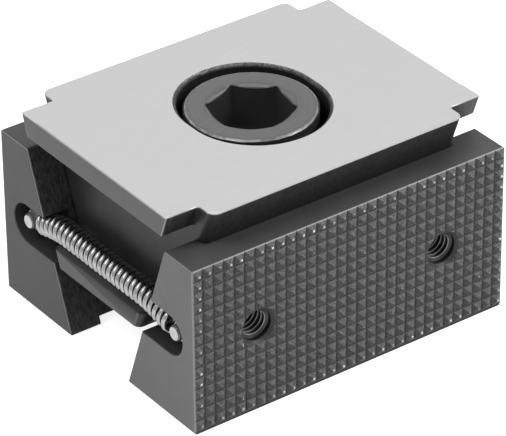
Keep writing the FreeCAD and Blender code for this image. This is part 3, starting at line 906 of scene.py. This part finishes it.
# Screw
def trimmed(piece, height, keep_above):
    """Cut a piece level at a height and close the cut."""
    only(piece)
    bpy.ops.object.mode_set(mode="EDIT")
    bpy.ops.mesh.select_all(action="SELECT")
    bpy.ops.mesh.bisect(plane_co=(0, 0, height * MM), plane_no=(0, 0, 1), use_fill=True,
                        clear_inner=keep_above, clear_outer=not keep_above)
    bpy.ops.object.mode_set(mode="OBJECT")


def joined(first, second):
    bpy.ops.object.select_all(action="DESELECT")
    second.select_set(True)
    first.select_set(True)
    bpy.context.view_layer.objects.active = first
    bpy.ops.object.join()
    return first


def raise_head(piece):
    """Lift the head to its real height and widen its face, which narrows the chamfer."""
    inner, outer = FACE_RING
    for vertex in piece.data.vertices:
        if vertex.co.z > HEAD_LIFT_FROM * MM:
            vertex.co.z += HEAD_RISE * MM
        reach = math.hypot(vertex.co.x, vertex.co.y) / MM
        if vertex.co.z > FACE_FROM * MM and reach > inner:
            if reach < outer:
                vertex.co.x *= FACE_RADIUS / reach
                vertex.co.y *= FACE_RADIUS / reach
            else:
                vertex.co.z = (HEAD_TOP - HEAD_RADIUS + FACE_RADIUS) * MM


def shank_core():
    """The round shank under the thread, its top sunk in the head."""
    bpy.ops.object.select_all(action="DESELECT")
    bpy.ops.mesh.primitive_cylinder_add(vertices=64, radius=THREAD_CORE * MM,
                                        depth=(SHANK_TOP - SHANK_END) * MM,
                                        location=(0, 0, (SHANK_TOP + SHANK_END) / 2 * MM))
    core = named(bpy.context.active_object, "core")
    settle(core)
    outward(core)
    return core


def shank_ridge():
    """The screw's thread, cut level at both ends."""
    ridge = thread_ridge("ridge", THREAD_TOP - THREAD_CORNER, THREAD_CORNER, THREAD_TURNS, THREAD_PITCH,
                         THREAD_STEPS, point_out=True)
    ridge.location = (0, 0, THREAD_START * MM)
    settle(ridge)
    trimmed(ridge, THREAD_LOW, keep_above=True)
    trimmed(ridge, THREAD_HIGH, keep_above=False)
    outward(ridge)
    return ridge


screw = solid_copy("clamping_screw", "socket_head_screw")
trimmed(screw, HEAD_CUT, keep_above=True)
raise_head(screw)
screw = joined(screw, shank_core())
screw = joined(screw, shank_ridge())
named(screw, "socket_head_screw")
smooth(screw, degrees=32)
keep_flats(screw)
wear(screw, screw_steel)
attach(screw, "clamping_screw")
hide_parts("clamping_screw")


# Stage
def seen_rays(tree):
    """1 for the rays that show the background: straight, in a reflection or through glass."""
    rays = tree.nodes.new("ShaderNodeLightPath")
    seen = maths(tree, "MAXIMUM", rays.outputs["Is Camera Ray"], rays.outputs["Is Glossy Ray"])
    return maths(tree, "MAXIMUM", seen, rays.outputs["Is Transmission Ray"])


def white_floor():
    """A white floor that keeps a soft shadow."""
    bpy.ops.object.select_all(action="DESELECT")
    bpy.ops.mesh.primitive_plane_add(size=FLOOR_SIZE, location=(0, 0, -FLOOR_DROP))
    floor = named(bpy.context.active_object, "floor")
    settle(floor)
    material = bpy.data.materials.new("floor white")
    material.use_nodes = True
    tree = material.node_tree
    tree.nodes.clear()
    output = tree.nodes.new("ShaderNodeOutputMaterial")
    paint = tree.nodes.new("ShaderNodeBsdfDiffuse")
    paint.inputs["Color"].default_value = (FLOOR_GREY, FLOOR_GREY, FLOOR_GREY, 1)
    glow = tree.nodes.new("ShaderNodeEmission")
    glow.inputs["Color"].default_value = (1, 1, 1, 1)
    tree.links.new(maths(tree, "MULTIPLY", seen_rays(tree), FLOOR_GLOW), glow.inputs["Strength"])
    surface = tree.nodes.new("ShaderNodeAddShader")
    tree.links.new(paint.outputs["BSDF"], surface.inputs[0])
    tree.links.new(glow.outputs["Emission"], surface.inputs[1])
    tree.links.new(surface.outputs["Shader"], output.inputs["Surface"])
    floor.data.materials.append(material)


def white_world():
    """A dim white room that is seen as pure white."""
    world = bpy.data.worlds.new("studio")
    bpy.context.scene.world = world
    world.use_nodes = True
    tree = world.node_tree
    tree.nodes.clear()
    output = tree.nodes.new("ShaderNodeOutputWorld")
    mixed = tree.nodes.new("ShaderNodeMixShader")
    tree.links.new(seen_rays(tree), mixed.inputs["Fac"])
    for socket, strength in ((mixed.inputs[1], ROOM_LIGHT), (mixed.inputs[2], 1.0)):
        white = tree.nodes.new("ShaderNodeBackground")
        white.inputs["Color"].default_value = (1, 1, 1, 1)
        white.inputs["Strength"].default_value = strength
        tree.links.new(white.outputs["Background"], socket)
    tree.links.new(mixed.outputs["Shader"], output.inputs["Surface"])


def softbox(name, place, target, size, watts):
    lamp = bpy.data.lights.new(name, "AREA")
    lamp.shape = "SQUARE"
    lamp.size = size
    lamp.energy = watts
    holder = bpy.data.objects.new(name, lamp)
    holder.location = place
    aim = Vector(target) - Vector(place)
    holder.rotation_euler = aim.to_track_quat("-Z", "Y").to_euler()
    bpy.context.scene.collection.objects.link(holder)


white_floor()
white_world()
for lamp in SOFTBOXES:
    softbox(*lamp)

# Camera
back = Vector((-math.sin(CAMERA_AZIMUTH) * math.cos(CAMERA_ELEVATION),
               -math.cos(CAMERA_AZIMUTH) * math.cos(CAMERA_ELEVATION),
               math.sin(CAMERA_ELEVATION)))
right = Vector((0, 0, 1)).cross(back).normalized()
up = back.cross(right)
turned_right = right * math.cos(CAMERA_ROLL) + up * math.sin(CAMERA_ROLL)
turned_up = up * math.cos(CAMERA_ROLL) - right * math.sin(CAMERA_ROLL)
camera_data = bpy.data.cameras.new("camera")
camera_data.sensor_fit = "HORIZONTAL"
camera_data.sensor_width = 36.0
camera_data.lens = CAMERA_LENS
camera_data.clip_start = 0.01
camera = bpy.data.objects.new("camera", camera_data)
bpy.context.scene.collection.objects.link(camera)
turn = Matrix((turned_right, turned_up, back)).transposed().to_4x4()
camera.matrix_world = Matrix.Translation(CAMERA_PLACE) @ turn
bpy.context.scene.camera = camera
bpy.context.scene.view_settings.view_transform = "Standard"
